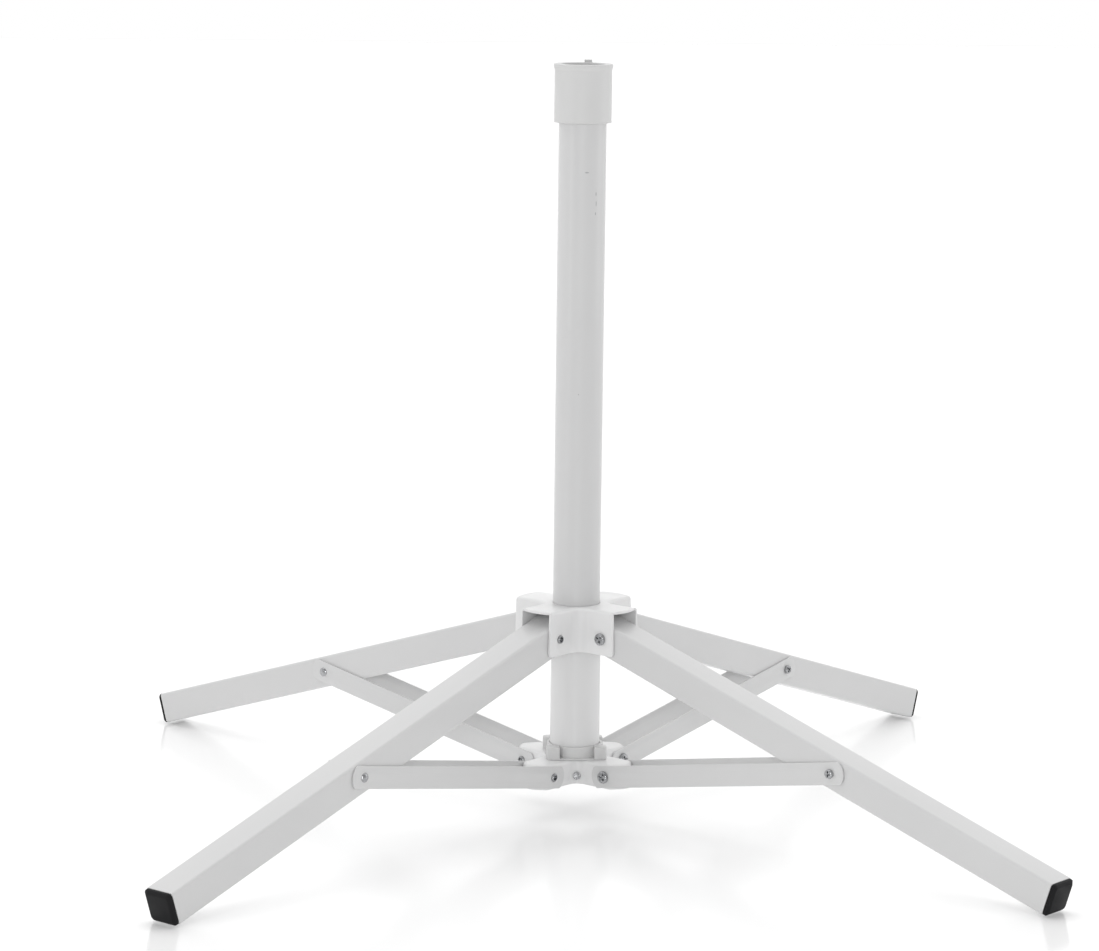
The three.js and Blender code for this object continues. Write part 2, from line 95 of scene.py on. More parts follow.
def noise(nt, scale, detail=3.0, stretch=None, rough=0.5):
    tc = nt.nodes.new("ShaderNodeTexCoord")
    src = tc.outputs["Object"]
    if stretch:
        mp = nt.nodes.new("ShaderNodeMapping")
        mp.inputs["Scale"].default_value = stretch
        nt.links.new(src, mp.inputs["Vector"])
        src = mp.outputs["Vector"]
    n = nt.nodes.new("ShaderNodeTexNoise")
    n.inputs["Scale"].default_value = scale
    n.inputs["Detail"].default_value = detail
    n.inputs["Roughness"].default_value = rough
    nt.links.new(src, n.inputs["Vector"])
    return n.outputs["Fac"]


def bump(nt, bsdf, height, strength, distance):
    b = nt.nodes.new("ShaderNodeBump")
    b.inputs["Strength"].default_value = strength
    b.inputs["Distance"].default_value = distance
    nt.links.new(height, b.inputs["Height"])
    nt.links.new(b.outputs["Normal"], bsdf.inputs["Normal"])


def mix(nt, fac, a, b):
    """Colour a where fac is 0, b where it is 1; a or b may be a socket or a colour."""
    m = nt.nodes.new("ShaderNodeMix")
    m.data_type = "RGBA"
    nt.links.new(fac, m.inputs["Factor"])
    for value, socket in ((a, m.inputs[6]), (b, m.inputs[7])):
        if isinstance(value, tuple):
            socket.default_value = (*value, 1)
        else:
            nt.links.new(value, socket)
    return m.outputs[2]


def scuff_mask(nt, marks):
    """1 on a few short marks: each is (point, half size along x, y, z) in metres."""
    total = None
    tc = nt.nodes.new("ShaderNodeTexCoord")
    for (px, py, pz), (sx, sy, sz) in marks:
        sub = nt.nodes.new("ShaderNodeVectorMath")
        sub.operation = "SUBTRACT"
        nt.links.new(tc.outputs["Object"], sub.inputs[0])
        sub.inputs[1].default_value = (px, py, pz)
        div = nt.nodes.new("ShaderNodeVectorMath")
        div.operation = "DIVIDE"
        nt.links.new(sub.outputs[0], div.inputs[0])
        div.inputs[1].default_value = (sx, sy, sz)
        ln = nt.nodes.new("ShaderNodeVectorMath")
        ln.operation = "LENGTH"
        nt.links.new(div.outputs[0], ln.inputs[0])
        mr = nt.nodes.new("ShaderNodeMapRange")
        mr.inputs["From Min"].default_value = 0.6
        mr.inputs["From Max"].default_value = 1.0
        mr.inputs["To Min"].default_value = 1.0
        mr.inputs["To Max"].default_value = 0.0
        nt.links.new(ln.outputs["Value"], mr.inputs["Value"])
        if total is None:
            total = mr.outputs["Result"]
        else:
            mx = nt.nodes.new("ShaderNodeMath")
            mx.operation = "MAXIMUM"
            nt.links.new(total, mx.inputs[0])
            nt.links.new(mr.outputs["Result"], mx.inputs[1])
            total = mx.outputs[0]
    return total


PAINT = (0.665, 0.665, 0.665)
PAINT_LOW = (0.64, 0.64, 0.642)


def white_paint(name, low=PAINT_LOW, high=PAINT, marks=None):
    m, nt, b = principled(name)
    base = ramp(nt, noise(nt, 6.0, 1.5), [(0.2, low), (0.8, high)])
    colour = base.outputs["Color"]
    if marks:
        colour = mix(nt, scuff_mask(nt, marks), colour, (0.40, 0.40, 0.41))
    nt.links.new(colour, b.inputs["Base Color"])
    r = ramp(nt, noise(nt, 14.0, 1.5), [(0.2, 0.27), (0.8, 0.35)])
    nt.links.new(r.outputs["Color"], b.inputs["Roughness"])
    b.inputs["IOR"].default_value = 1.5
    b.inputs["Coat Weight"].default_value = 0.15
    b.inputs["Coat Roughness"].default_value = 0.12
    bump(nt, b, noise(nt, 420.0, 2.0), 0.07, 0.0003)
    return m


def plastic_white():
    m, nt, b = principled("white_plastic")
    base = ramp(nt, noise(nt, 12.0, 3.0), [(0.3, (0.635, 0.635, 0.633)), (0.7, (0.665, 0.665, 0.663))])
    nt.links.new(base.outputs["Color"], b.inputs["Base Color"])
    r = ramp(nt, noise(nt, 40.0, 3.0), [(0.3, 0.36), (0.7, 0.46)])
    nt.links.new(r.outputs["Color"], b.inputs["Roughness"])
    bump(nt, b, noise(nt, 900.0, 2.0), 0.06, 0.0003)
    return m


def plastic_black():
    m, nt, b = principled("black_plastic")
    base = ramp(nt, noise(nt, 30.0, 4.0), [(0.3, (0.006, 0.006, 0.007)), (0.7, (0.011, 0.011, 0.012))])
    nt.links.new(base.outputs["Color"], b.inputs["Base Color"])
    r = ramp(nt, noise(nt, 60.0, 3.0), [(0.3, 0.50), (0.7, 0.64)])
    nt.links.new(r.outputs["Color"], b.inputs["Roughness"])
    b.inputs["Specular IOR Level"].default_value = 0.18
    bump(nt, b, noise(nt, 1300.0, 3.0), 0.25, 0.0002)
    return m


def zinc():
    m, nt, b = principled("zinc_steel")
    base = ramp(nt, noise(nt, 160.0, 4.0), [(0.3, (0.32, 0.325, 0.335)), (0.7, (0.46, 0.465, 0.475))])
    nt.links.new(base.outputs["Color"], b.inputs["Base Color"])
    b.inputs["Metallic"].default_value = 1.0
    r = ramp(nt, noise(nt, 300.0, 3.0), [(0.3, 0.18), (0.7, 0.34)])
    nt.links.new(r.outputs["Color"], b.inputs["Roughness"])
    bump(nt, b, noise(nt, 700.0, 2.0), 0.15, 0.0002)
    return m


# short scuffs on the mast, on the side that faces the viewer
def mast_mark(azimuth, z, w, h):
    a = azimuth * DEG
    return ((0.025 * math.cos(a), 0.025 * math.sin(a), z / 1000), (w / 1000, w / 1000, h / 1000))


# the mast's copy of the white paint is a little darker than the legs' (0.62 to 0.645): painted shade; the short dark
# marks on it are scuffs
M_MAST_PAINTED_SHADE = white_paint("white_paint_mast_shade_and_scuffs", low=(0.62, 0.62, 0.622), high=(0.645, 0.645, 0.645), marks=[
    mast_mark(-83.7, 685.0, 2.6, 0.9), mast_mark(-59.1, 662.5, 0.7, 2.6), mast_mark(-58.4, 652.5, 0.6, 3.6),
    mast_mark(-60.0, 642.0, 0.7, 1.9), mast_mark(-97.0, 452.0, 0.6, 0.8), mast_mark(60.0, 520.0, 0.8, 2.2),
    mast_mark(150.0, 610.0, 0.8, 1.6)])
M_PAINT = white_paint("white_paint")
# the hubs' copy of the white paint is lighter than the legs' (0.78 to 0.80 against 0.64 to 0.665): painted light that
# lifts the shade in the hubs' pockets and under their tops
M_HUB_PAINTED_LIGHT = white_paint("white_paint_hub_painted_light", low=(0.775, 0.775, 0.777), high=(0.80, 0.80, 0.80))
# the sleeve's copy of the white paint is lighter than the legs' (0.72 to 0.745): painted light on the sleeve
M_SLEEVE_PAINTED_LIGHT = white_paint("white_paint_sleeve_painted_light", low=(0.72, 0.72, 0.722), high=(0.745, 0.745, 0.745))
M_PLASTIC = plastic_white()
M_BLACK = plastic_black()
M_ZINC = zinc()


# ---------------------------------------------------------------- mesh helpers
def make(name, verts, faces, matrix=None):
    """A mesh object in millimetres, still without finish."""
    me = bpy.data.meshes.new(name)
    me.from_pydata([tuple(v) for v in verts], [], faces)
    bm = bmesh.new()
    bm.from_mesh(me)
    bmesh.ops.remove_doubles(bm, verts=bm.verts, dist=1e-4)
    bmesh.ops.recalc_face_normals(bm, faces=bm.faces)
    bm.to_mesh(me)
    bm.free()
    if matrix is not None:
        me.transform(matrix)
    o = bpy.data.objects.new(name, me)
    bpy.context.scene.collection.objects.link(o)
    return o


def apply(o):
    dg = bpy.context.evaluated_depsgraph_get()
    dg.update()
    me = bpy.data.meshes.new_from_object(o.evaluated_get(dg))
    o.modifiers.clear()
    o.data = me
    return o


def boolean(o, cutter, operation):
    m = o.modifiers.new("b", "BOOLEAN")
    m.operation = operation
    m.solver = "EXACT"
    m.object = cutter
    apply(o)
    bpy.data.objects.remove(cutter)
    return o


def solidify(o, thickness):
    m = o.modifiers.new("s", "SOLIDIFY")
    m.thickness = thickness
    m.offset = -1.0
    m.use_even_offset = True
    m.use_quality_normals = True
    return apply(o)


def bevel(o, width, segments=2, angle=40):
    m = o.modifiers.new("v", "BEVEL")
    m.width = width
    m.segments = segments
    m.limit_method = "ANGLE"
    m.angle_limit = angle * DEG
    m.use_clamp_overlap = True
    return apply(o)


def done(o, material, body, node_name, sharp=32, matrix=None):
    """Millimetres to metres, shading, and the piece's place in the frame."""
    me = o.data
    if matrix is not None:
        me.transform(matrix)
    me.transform(Matrix.Scale(0.001, 4))
    me.polygons.foreach_set("use_smooth", [True] * len(me.polygons))
    me.set_sharp_from_angle(angle=sharp * DEG)
    me.materials.clear()
    me.materials.append(material)
    me.update()
    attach(o, body)
    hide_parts(node_name)
    return o


def lathe(name, profile, n=96, matrix=None):
    """Body of revolution about Z from (radius, z) points. The profile starts and
    ends on the axis, or closes on itself."""
    verts, rings = [], []
    for r, z in profile:
        if r == 0:
            rings.append([len(verts)])
            verts.append((0, 0, z))
        else:
            rings.append(list(range(len(verts), len(verts) + n)))
            verts += [(r * math.cos(2 * math.pi * i / n), r * math.sin(2 * math.pi * i / n), z) for i in range(n)]
    faces = []
    closed = profile[0][0] != 0
    for k in range(len(rings) if closed else len(rings) - 1):
        a, b = rings[k], rings[(k + 1) % len(rings)]
        for i in range(n):
            j = (i + 1) % n
            if len(a) == 1 and len(b) == 1:
                break
            if len(a) == 1:
                faces.append((a[0], b[i], b[j]))
            elif len(b) == 1:
                faces.append((a[i], a[j], b[0]))
            else:
                faces.append((a[i], a[j], b[j], b[i]))
    return make(name, verts, faces, matrix)


def arc(cx, cz, r, a0, a1, n):
    """Points on an arc, for a profile's rounded corner."""
    return [(cx + r * math.cos((a0 + (a1 - a0) * i / n) * DEG), cz + r * math.sin((a0 + (a1 - a0) * i / n) * DEG))
            for i in range(n + 1)]


def round_rect(w, h, r, n=8):
    out = []
    for cx, cy, a0 in ((w / 2 - r, h / 2 - r, 0), (-w / 2 + r, h / 2 - r, 90),
                       (-w / 2 + r, -h / 2 + r, 180), (w / 2 - r, -h / 2 + r, 270)):
        out += arc(cx, cy, r, a0, a0 + 90, n)
    return out


def circle(r, n=48, x=0.0, y=0.0):
    return [(x + r * math.cos(2 * math.pi * i / n), y + r * math.sin(2 * math.pi * i / n)) for i in range(n)]


def inset(points, d):
    """The outline moved in by d; points run counter-clockwise."""
    out, n = [], len(points)
    for i in range(n):
        a, b, c = Vector(points[i - 1]), Vector(points[i]), Vector(points[(i + 1) % n])
        u, v = (b - a).normalized(), (c - b).normalized()
        m = (Vector((-u.y, u.x)) + Vector((-v.y, v.x)))
        m = m / max(m.length, 1e-9)
        k = max(m.dot(Vector((-u.y, u.x))), 0.3)
        p = b + m * (d / k)
        out.append((p.x, p.y))
    return out


def cap_faces(loops, offset_of):
    """Triangles for a flat outline with holes. offset_of gives each loop's first vertex."""
    tris = tessellate_polygon([[Vector((x, y, 0)) for x, y in lp] for lp in loops])
    table = []
    for lp, off in zip(loops, offset_of):
        table += [off + i for i in range(len(lp))]
    return [tuple(table[i] for i in t) for t in tris]


def plate(name, outline, z0, z1, holes=(), edge=0.35, matrix=None, steps=2):
    """Flat part with softened outer edges and straight holes."""
    levels = [(edge * (1 - math.sin(a)), z0 + edge * (1 - math.cos(a))) for a in
              [math.pi / 2 * i / steps for i in range(steps + 1)]] if edge else [(0, z0)]
    if edge:
        levels += [(d, z1 + z0 - z) for d, z in reversed(levels)]
    else:
        levels += [(0, z1)]
    verts, faces, n = [], [], len(outline)
    for d, z in levels:
        verts += [(x, y, z) for x, y in (inset(outline, d) if d > 1e-6 else outline)]
    for k in range(len(levels) - 1):
        for i in range(n):
            a, b = k * n + i, k * n + (i + 1) % n
            faces.append((a, b, b + n, a + n))
    lo, hi = [0], [(len(levels) - 1) * n]
    for h in holes:
        a, m = len(verts), len(h)
        verts += [(x, y, z0) for x, y in h] + [(x, y, z1) for x, y in h]
        lo.append(a)
        hi.append(a + m)
        faces += [(a + i, a + (i + 1) % m, a + m + (i + 1) % m, a + m + i) for i in range(m)]
    first = inset(outline, levels[0][0]) if levels[0][0] > 1e-6 else list(outline)
    faces += cap_faces([first, *holes], lo)
    faces += cap_faces([first, *holes], hi)
    return make(name, verts, faces, matrix)


def loft(name, sections, closed=False, matrix=None):
    """Sections along X, each (x, [(y, z)...]); open ends are closed with a face,
    or the last section joins the first."""
    n = len(sections[0][1])
    verts = [(x, y, z) for x, pts in sections for y, z in pts]
    faces = []
    for k in range(len(sections) if closed else len(sections) - 1):
        a0, b0 = k * n, ((k + 1) % len(sections)) * n
        for i in range(n):
            j = (i + 1) % n
            faces.append((a0 + i, a0 + j, b0 + j, b0 + i))
    if not closed:
        faces.append(tuple(range(n)))
        faces.append(tuple(range((len(sections) - 1) * n, len(sections) * n)))
    return make(name, verts, faces, matrix)


def rods(name, places, r, n=32):
    """One cutter mesh: round bars, each (start, end)."""
    verts, faces = [], []
    for a, b in places:
        a, b = Vector(a), Vector(b)
        q = (b - a).to_track_quat("Z", "Y").to_matrix()
        off = len(verts)
        for p in (a, b):
            verts += [p + q @ Vector((r * math.cos(2 * math.pi * i / n), r * math.sin(2 * math.pi * i / n), 0)) for i in range(n)]
        faces += [(off + i, off + (i + 1) % n, off + n + (i + 1) % n, off + n + i) for i in range(n)]
        faces += [tuple(off + n + i for i in range(n)), tuple(off + i for i in range(n))[::-1]]
    return make(name, verts, faces)


def block(name, x0, x1, y0, y1, z0, z1, matrix=None):
    v = [(x, y, z) for x in (x0, x1) for y in (y0, y1) for z in (z0, z1)]
    f = [(0, 1, 3, 2), (4, 6, 7, 5), (0, 4, 5, 1), (2, 3, 7, 6), (0, 2, 6, 4), (1, 5, 7, 3)]
    return make(name, v, f, matrix)


def turn(deg, axis="Z"):
    return Matrix.Rotation(deg * DEG, 4, axis)


# ---------------------------------------------------------------- mast and collar
done(lathe("mast", [
    (MAST_BORE_R, MAST_BOTTOM), (MAST_R - 0.3, MAST_BOTTOM), (MAST_R, MAST_BOTTOM + 0.3),
    (MAST_R, MAST_TOP - 0.4), (MAST_R - 0.4, MAST_TOP), (MAST_BORE_R + 0.3, MAST_TOP), (MAST_BORE_R, MAST_TOP - 0.3),
], 128), M_MAST_PAINTED_SHADE, "mast_base", "mast_tube")

TOPS = MAST_TOP + GAP
collar = lathe("collar", [
    (25.3, COLLAR_BOTTOM), (COLLAR_R - 0.4, COLLAR_BOTTOM),
    *arc(COLLAR_R - 0.3, COLLAR_BOTTOM + 0.7, 0.7, -60, 60, 4),
    (COLLAR_R, COLLAR_BOTTOM + 2.0), (COLLAR_R, COLLAR_TOP - 6.6), (COLLAR_R + 0.15, COLLAR_TOP - 5.6),
    (COLLAR_R + 0.7, COLLAR_TOP - 4.0), (COLLAR_LIP_R - 0.05, COLLAR_TOP - 2.6),
    *arc(COLLAR_LIP_R - 1.0, COLLAR_TOP - 1.0, 1.0, 0, 90, 5),
    *arc(COLLAR_BORE_R + 1.1, COLLAR_TOP - 1.1, 1.1, 90, 180, 5),
    (COLLAR_BORE_R, TOPS), (25.3, TOPS),
], 128)
tab = plate("tab", round_rect(4.2, 8.0, 1.0, 4), COLLAR_TOP - 2.0, COLLAR_TOP + 3.0, edge=0.5,
            matrix=turn(73.7) @ Matrix.Translation((26.2, 0, 0)))
boolean(collar, tab, "UNION")
done(collar, M_PLASTIC, "mast_base", "top_collar", sharp=40)


# ---------------------------------------------------------------- upper hub
def fillet_rows(r, top, q=6):
    """(inset, z) rows from the top face through a rounded edge to the wall."""
    return [(r * (1 - math.sin(math.pi / 2 * j / q)), top - r * (1 - math.cos(math.pi / 2 * j / q))) for j in range(q + 1)]


def upper_hub():
    out, r = UHUB_IN + UHUB_SHEET, 3.2
    c, rb = UHUB_IN + UHUB_BEND, UHUB_BEND - UHUB_SHEET
    cut = 4.0
    # plan path of one wall's outer face: ear along X, bend, ear along Y
    along = [UHUB_REACH - d for d in (0, 0.35, 0.9, 1.7, 2.8, 4.0, 7.0, 12.0)] + [c + 6, c + 2]
    path = [((x, out), (0, 1)) for x in along]
    nb = 18
    for i in range(nb + 1):
        a = (270 - 90 * i / nb) * DEG
        path.append(((c + rb * math.cos(a), c + rb * math.sin(a)), (-math.cos(a), -math.sin(a))))
    path += [((out, y), (1, 0)) for y in reversed(along)]
    rows = fillet_rows(r, UHUB_TOP)
    verts, faces, rims = [], [], []
    for k in range(4):
        a = k * math.pi / 2
        ca, sa = math.cos(a), math.sin(a)
        base, m = len(verts), len(path)
        for d, z in rows:
            for (px, py), (nx, ny) in path:
                x, y = px - nx * d, py - ny * d
                draw_in = (1.2 * max(0.0, 1 - (UHUB_REACH - max(px, py)) / 12)) * (d / r) ** 0.7
                if px > py:
                    x -= draw_in
                else:
                    y -= draw_in
                verts.append((x * ca - y * sa, x * sa + y * ca, z))
        for (px, py), (nx, ny) in path:
            s = UHUB_REACH - max(px, py)
            zb = UHUB_BOTTOM + (cut - math.sqrt(max(cut * cut - (cut - s) ** 2, 0)) if s < cut else 0)
            lean = 1.1 * max(0.0, 1 - s / 12)
            if px > py:
                px += lean
            else:
                py += lean
            verts.append((px * ca - py * sa, px * sa + py * ca, zb))
        for j in range(len(rows)):
            for i in range(m - 1):
                p = base + j * m + i
                faces.append((p, p + 1, p + 1 + m, p + m))
        rims.append([base + i for i in range(m)])
        # bowed tip of the tongue over the next leg, from the end of this wall
        tip, half = [], out - r
        for i in range(1, 14):
            u = 1 - 2 * i / 14
            x, y = UHUB_REACH - 1.2 + 3.6 * (1 - u * u), u * half
            b = a + math.pi / 2
            # tongue along +Y of this quarter; u runs from its right edge to its left
            tip.append(len(verts))
            verts.append((x * math.cos(b) - (-y) * math.sin(b), x * math.sin(b) + (-y) * math.cos(b), UHUB_TOP))
        rims.append(tip)
    outline = [i for rim in rims for i in rim]
    n = 96
    hole = list(range(len(verts), len(verts) + n))
    verts += [((MAST_R + 0.4) * math.cos(2 * math.pi * i / n), (MAST_R + 0.4) * math.sin(2 * math.pi * i / n), UHUB_TOP) for i in range(n)]
    loops = [[verts[i][:2] for i in outline], [verts[i][:2] for i in hole]]
    table = outline + hole
    tris = tessellate_polygon([[Vector((x, y, 0)) for x, y in lp] for lp in loops])
    faces += [tuple(table[i] for i in t) for t in tris]
    me = bpy.data.meshes.new("upper_hub_skin")
    me.from_pydata(verts, [], faces)
    bm = bmesh.new()
    bm.from_mesh(me)
    bmesh.ops.remove_doubles(bm, verts=bm.verts, dist=1e-4)
    bmesh.ops.recalc_face_normals(bm, faces=bm.faces)
    top = max(bm.faces, key=lambda f: f.calc_center_median().z)
    if top.normal.z < 0:
        bmesh.ops.reverse_faces(bm, faces=bm.faces)
    bm.to_mesh(me)
    bm.free()
    o = bpy.data.objects.new("upper_hub_v", me)
    bpy.context.scene.collection.objects.link(o)
    count = len(o.data.vertices)
    solidify(o, UHUB_SHEET)
    skin = o.data.vertices
    for i in range(count):
        if skin[i].co.z > UHUB_TOP - 0.001:
            skin[i + count].co = skin[i].co - Vector((0, 0, UHUB_SHEET))
    bevel(o, 0.45, 2, 45)
    holes = []
    for k in range(4):
        q = turn(90 * k)
        for s in (-1, 1):
            holes.append((q @ Vector((P1R, s * 14, P1Z)), q @ Vector((P1R, s * 26, P1Z))))
    boolean(o, rods("cut", holes, HOLE_R), "DIFFERENCE")
    done(o, M_HUB_PAINTED_LIGHT, "hub_slider", "upper_hub", sharp=38, matrix=turn(45))


upper_hub()

done(lathe("sleeve", [
    (SLEEVE_BORE_R, SLEEVE_BOTTOM), (SLEEVE_R - 0.3, SLEEVE_BOTTOM), (SLEEVE_R, SLEEVE_BOTTOM + 0.3),
    (SLEEVE_R, UHUB_TOP - UHUB_SHEET - GAP), (SLEEVE_BORE_R, UHUB_TOP - UHUB_SHEET - GAP),
], 128), M_SLEEVE_PAINTED_LIGHT, "hub_slider", "guide_sleeve")


# ---------------------------------------------------------------- lower hub
def cross(grow=0.0, fine=14):
    h, side, tip, rc = LHUB_OUT, LHUB_SIDE, LHUB_TIP, 7.0
    c, pts = LHUB_OUT + LHUB_BEND, []
    first = arc(side - rc, -h + rc, rc, -90, -14, 8)
    pts += first
    x1, y1 = first[-1]
    m = 10
    for i in range(1, m):
        u = -1 + 2 * i / m
        pts.append((x1 + (tip - x1) * (1 - u * u), u * (-y1)))
    pts += [(x, -y) for x, y in reversed(first)]
    for i in range(fine + 1):
        a = (270 - 90 * i / fine) * DEG
        pts.append((c + LHUB_BEND * math.cos(a), c + LHUB_BEND * math.sin(a)))
    out = []
    for k in range(4):
        a = k * math.pi / 2
        out += [(x * math.cos(a) - y * math.sin(a), x * math.sin(a) + y * math.cos(a)) for x, y in pts]
    return out


def lower_hub():
    outline = cross()
    n = len(outline)
    verts, faces = [], []
    outer = fillet_rows(3.6, LHUB_TOP)
    inner = [(LHUB_SHEET + d, z) for d, z in fillet_rows(1.4, LHUB_TOP - LHUB_SHEET)]
    rows = outer + [(0, LHUB_BOTTOM + 0.4), (0.4, LHUB_BOTTOM), (LHUB_SHEET - 0.4, LHUB_BOTTOM), (LHUB_SHEET, LHUB_BOTTOM + 0.4)] + inner[::-1]
    for d, z in rows:
        verts += [(x, y, z) for x, y in (inset(outline, d) if d > 1e-6 else outline)]
    for j in range(len(rows) - 1):
        for i in range(n):
            a, b = j * n + i, j * n + (i + 1) % n
            faces.append((a, b, b + n, a + n))
    h, r = 96, BUSH_NECK_R + GAP
    ring = circle(r, h)
    top_ring = len(verts)
    verts += [(x, y, LHUB_TOP) for x, y in ring]
    low_ring = len(verts)
    verts += [(x, y, LHUB_TOP - LHUB_SHEET) for x, y in ring]
    faces += [(top_ring + i, top_ring + (i + 1) % h, low_ring + (i + 1) % h, low_ring + i) for i in range(h)]
    last = (len(rows) - 1) * n
    faces += cap_faces([[v[:2] for v in verts[:n]], ring], [0, top_ring])
    faces += cap_faces([[v[:2] for v in verts[last:last + n]], ring], [last, low_ring])
    o = make("lower_hub_v", verts, faces)
    holes = []
    for k in range(4):
        q = turn(90 * k)
        for s in (-1, 1):
            holes.append((q @ Vector((P2R, s * 12, P2Z)), q @ Vector((P2R, s * 24, P2Z))))
    boolean(o, rods("cut", holes, HOLE_R), "DIFFERENCE")
    bisect = math.sqrt(2) * (LHUB_OUT + LHUB_BEND) - LHUB_BEND
    small = []
    for k in range(4):
        q = turn(45 + 90 * k)
        small.append((q @ Vector((bisect - 6, 0, RIVET_Z)), q @ Vector((bisect + 6, 0, RIVET_Z))))
    boolean(o, rods("cut", small, 2.7), "DIFFERENCE")
    done(o, M_HUB_PAINTED_LIGHT, "mast_base", "lower_hub", sharp=38, matrix=turn(45))


lower_hub()


# ---------------------------------------------------------------- bush
def hub_bush():
    z0 = LHUB_TOP + 0.04
    o = plate("bush", round_rect(2 * BUSH_HALF, 2 * BUSH_HALF, BUSH_CORNER, 8), z0, BUSH_TOP, edge=0.7, steps=4)
    boolean(o, plate("seat", circle(BUSH_SEAT_R, 96), BUSH_FLOOR, BUSH_TOP + 2, edge=0), "DIFFERENCE")
    w = BUSH_WINDOW
    boolean(o, block("w1", -w, w, -50, 50, BUSH_FLOOR, BUSH_TOP + 2), "DIFFERENCE")
    boolean(o, block("w2", -50, 50, -w, w, BUSH_FLOOR, BUSH_TOP + 2), "DIFFERENCE")
    bevel(o, 0.5, 2, 50)
    # slotted ring wall round the sleeve, between the corner posts
    ring = lathe("ring", [
        (BUSH_SEAT_R, z0 + 0.8), (BUSH_RING_R, z0 + 0.8), (BUSH_RING_R, BUSH_TOP - 1.2),
        *arc(BUSH_RING_R - 0.7, BUSH_TOP - 1.1, 0.7, 0, 90, 4), *arc(BUSH_SEAT_R + 0.5, BUSH_TOP - 0.9, 0.5, 90, 180, 3),
    ], 128)
    x = -BUSH_WINDOW - 0.2
    for k in range(4):
        boolean(ring, block("slot", x, x + BUSH_SLOT, -36, -10, BUSH_FLOOR + 0.6, BUSH_TOP + 2, turn(90 * k)), "DIFFERENCE")
    boolean(o, ring, "UNION")
    neck = lathe("neck", [(BUSH_BORE_R - 0.2, BUSH_BOTTOM), (BUSH_NECK_R, BUSH_BOTTOM), (BUSH_NECK_R, z0 + 0.6), (BUSH_BORE_R - 0.2, z0 + 0.6)], 96)
    boolean(o, neck, "UNION")
    boolean(o, plate("bore", circle(BUSH_BORE_R, 96), BUSH_BOTTOM - 2, BUSH_TOP + 2, edge=0), "DIFFERENCE")
    done(o, M_PLASTIC, "mast_base", "hub_bush", sharp=30)


hub_bush()

# ---------------------------------------------------------------- rivets
BISECT = math.sqrt(2) * (LHUB_OUT + LHUB_BEND) - LHUB_BEND
for k in range(4):
    d = BISECT + 0.55
    o = lathe("rivet_v_%d" % (k + 1), [
        (0, BISECT - LHUB_SHEET + 0.1), (2.4, BISECT - LHUB_SHEET + 0.1), (2.4, d + GAP), (RIVET_R - 0.2, d + GAP),
        (RIVET_R, d + GAP + 0.2), (RIVET_R, d + 1.1), (4.1, d + 1.4), (3.9, d + 1.5), (3.7, d + 1.35), (3.6, d + 0.45),
        (2.35, d + 0.45), (2.3, d + 1.4), (2.0, d + 1.75), (0, d + 1.9),
    ], 40, matrix=turn(90 * k) @ Matrix.Translation((0, 0, RIVET_Z)) @ turn(90, "Y"))
    done(o, M_ZINC, "mast_base", "bush_rivet_%d" % (k + 1), sharp=30)


# ---------------------------------------------------------------- fasteners, along Y
LAY = turn(-90, "X")     # lathe axis Z becomes +Y


def phillips(r, depth):
    """Tapered cross cutter whose wide end is at z = 0 and which points down."""
    verts, faces = [], []
    cutter = None
    for rot in (0, 90):
        w0, l0, w1, l1 = r * 0.20, r * 0.78, r * 0.12, r * 0.22
        v = [(s * l, t * w, z) for z, l, w in ((0.6, l0 * 1.05, w0 * 1.1), (-depth, l1, w1)) for s, t in ((-1, -1), (1, -1), (1, 1), (-1, 1))]
        f = [(0, 1, 2, 3), (4, 7, 6, 5), (0, 4, 5, 1), (1, 5, 6, 2), (2, 6, 7, 3), (3, 7, 4, 0)]
        b = make("x", v, f, turn(rot))
        if cutter is None:
            cutter = b
        else:
            boolean(cutter, b, "UNION")
    return cutter


def screw_mesh(head, length, stub):
    """Pan head on the plane z = 0, top upwards, shank down to -length."""
    h, crown = HEAD_H, []
    for i in range(9):
        a = i / 8
        crown.append((head - 0.25 + 0.25 * math.cos(a * math.pi / 2) - (head * 0.42) * a ** 2.2, 1.3 + (h - 1.3) * math.sin(a * math.pi / 2)))
    profile = [(0, -length), (stub - 0.4, -length), (stub, -length + 0.4), (stub, 0), (head - 0.25, 0), (head, 0.25)] + crown + [(0, h)]
    o = lathe("screw_source", profile, 48)
    cut = phillips(head, 2.3)
    cut.data.transform(turn(20) @ Matrix.Identity(4))
    cut.data.transform(Matrix.Translation((0, 0, h)))
    boolean(o, cut, "DIFFERENCE")
    return o


def barrel_mesh(length, bore):
    """Barrel nut from z = -length to its visible domed end at z = 0."""
    if not bore:
        # low round head, as wide as the screw's on the other side
        top = [(0, 0.7), (1.2, 0.62), (2.4, 0.32), (3.5, -0.2), (4.4, -0.95), (4.9, -1.6), (4.9, -1.85), (BARREL_R, -1.85), (BARREL_R, -length), (0, -length)]
        return lathe("barrel_source", top[::-1], 40)
    top = [(0, -3.0), (2.6, -3.0), (2.75, -0.4), (2.9, -0.08), (3.1, 0), (BARREL_R - 0.7, 0), (BARREL_R - 0.25, -0.35), (BARREL_R, -1.0), (BARREL_R, -length)]
    top += [(3.2, -length), (3.2, -length + bore), (0, -length + bore)]
    return lathe("barrel_source", top[::-1], 40)


def copy_mesh(source, name):
    o = bpy.data.objects.new(name, source.data.copy())
    bpy.context.scene.collection.objects.link(o)
    return o


